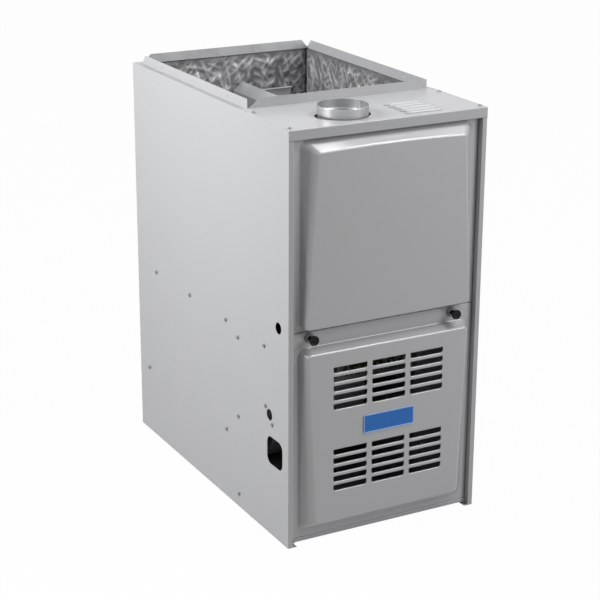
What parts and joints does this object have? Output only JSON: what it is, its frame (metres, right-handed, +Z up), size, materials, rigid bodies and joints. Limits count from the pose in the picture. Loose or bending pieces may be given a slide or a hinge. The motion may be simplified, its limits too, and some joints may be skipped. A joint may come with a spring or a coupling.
{
  "type": "forced air gas furnace",
  "caption": "Upflow forced air gas furnace: tall sheet-metal cabinet with lift-off doors, louvred lower door, top supply opening and round vent collar.",
  "frame": {"origin": "centre of the object's box at floor level", "axes": "+Z up, front with the doors towards -Y, +X to the right when facing the front"},
  "size_m": [0.4506, 0.757, 0.885],
  "materials": {
    "painted_casing": "light silver grey powder coat, satin",
    "painted_door": "silver grey powder coat, satin, slightly metallic",
    "galvanised": "galvanised sheet steel, dull spangle",
    "bright_steel": "bright rolled steel",
    "zinc_screws": "zinc plated",
    "foil": "wrinkled foil facing over glass fibre",
    "aluminised_tube": "aluminised steel, dull",
    "black_paint": "black enamel, satin",
    "brass": "machined brass",
    "valve_casting": "die cast, matt",
    "black_plastic": "moulded black plastic",
    "grey_plastic": "moulded grey plastic",
    "red_plastic": "moulded red plastic",
    "white_plastic": "moulded white plastic",
    "ceramic": "glazed ceramic",
    "rubber": "black rubber",
    "circuit_board": "green solder mask",
    "transformer_iron": "varnished laminations",
    "capacitor_can": "drawn aluminium can",
    "badge_blue": "blank blue plate with a pale border"
  },
  "bodies": {
    "cabinet": {"left_side_panel": "painted_casing", "right_side_panel": "painted_casing", "back_panel": "galvanised", "top_panel": "painted_casing", "vestibule_panel": "galvanised", "blower_deck": "galvanised", "centre_rail": "galvanised", "base_rail": "painted_casing", "bottom_closure_panel": "galvanised", "partition_posts": "galvanised", "blower_rails": "galvanised", "left_insulation": "foil", "right_insulation": "foil", "rear_insulation": "foil", "centre_air_baffle": "galvanised", "cross_air_baffle": "galvanised", "heat_exchanger_tubes": "aluminised_tube", "collector_box": "aluminised_tube", "inducer_gasket": "rubber", "inducer_housing": "black_paint", "inducer_motor": "black_paint", "vent_transition": "galvanised", "vent_collar": "bright_steel", "burners": "aluminised_tube", "burner_bracket": "galvanised", "gas_manifold": "black_paint", "gas_orifices": "brass", "gas_valve": "valve_casting", "igniter": "ceramic", "flame_sensor": "ceramic", "rollout_switches": "black_plastic", "limit_switch": "black_plastic", "pressure_switch": "black_plastic", "pressure_hose": "rubber", "blower_housing": "galvanised", "blower_motor": "black_paint", "blower_brackets": "galvanised", "run_capacitor": "capacitor_can", "control_panel": "galvanised", "control_board": "circuit_board", "transformer": "transformer_iron", "door_switch": "black_plastic", "junction_box": "galvanised", "junction_box_cover": "galvanised", "clip_nuts": "zinc_screws", "side_screws": "zinc_screws", "cabinet_screws": "zinc_screws"},
    "upper_door": {"upper_door": "painted_door"},
    "lower_door": {"lower_door": "painted_door", "badge_plate": "badge_blue", "knob_retainers": "grey_plastic"},
    "left_knob": {"left_knob": "black_plastic"},
    "right_knob": {"right_knob": "black_plastic"},
    "blower_wheel": {"blower_wheel": "galvanised", "blower_shaft": "bright_steel"},
    "inducer_wheel": {"inducer_wheel": "aluminised_tube"},
    "gas_valve_knob": {"gas_valve_knob": "black_plastic"},
    "left_reset_button": {"left_reset_button": "red_plastic"},
    "right_reset_button": {"right_reset_button": "red_plastic"},
    "door_switch_plunger": {"door_switch_plunger": "white_plastic"}
  },
  "joints": [
    {"name": "upper_door_lift_off", "type": "slide", "parent": "cabinet", "child": "upper_door", "axis": [0, -1, 0], "range_m": [0, 0.25]},
    {"name": "lower_door_lift_off", "type": "slide", "parent": "cabinet", "child": "lower_door", "axis": [0, -1, 0], "range_m": [0, 0.25]},
    {"name": "left_knob_turn", "type": "hinge", "parent": "lower_door", "child": "left_knob", "pos_m": [-0.1709, -0.3615, 0.443], "axis": [0, -1, 0], "continuous": true},
    {"name": "right_knob_turn", "type": "hinge", "parent": "lower_door", "child": "right_knob", "pos_m": [0.1585, -0.3615, 0.443], "axis": [0, -1, 0], "continuous": true},
    {"name": "blower_spin", "type": "hinge", "parent": "cabinet", "child": "blower_wheel", "pos_m": [0, 0.0685, 0.203], "axis": [1, 0, 0], "continuous": true},
    {"name": "inducer_spin", "type": "hinge", "parent": "cabinet", "child": "inducer_wheel", "pos_m": [0, -0.2365, 0.73], "axis": [0, 1, 0], "continuous": true},
    {"name": "gas_valve_turn", "type": "hinge", "parent": "cabinet", "child": "gas_valve_knob", "pos_m": [-0.096, -0.3315, 0.455], "axis": [0, -1, 0], "range_deg": [0, 90]},
    {"name": "left_reset_press", "type": "slide", "parent": "cabinet", "child": "left_reset_button", "axis": [0, 1, 0], "range_m": [0, 0.0015], "stiffness_N_per_m": 200},
    {"name": "right_reset_press", "type": "slide", "parent": "cabinet", "child": "right_reset_button", "axis": [0, 1, 0], "range_m": [0, 0.0015], "stiffness_N_per_m": 200},
    {"name": "door_switch_press", "type": "slide", "parent": "cabinet", "child": "door_switch_plunger", "axis": [0, 1, 0], "range_m": [0, 0.0025], "stiffness_N_per_m": 200}
  ]
}
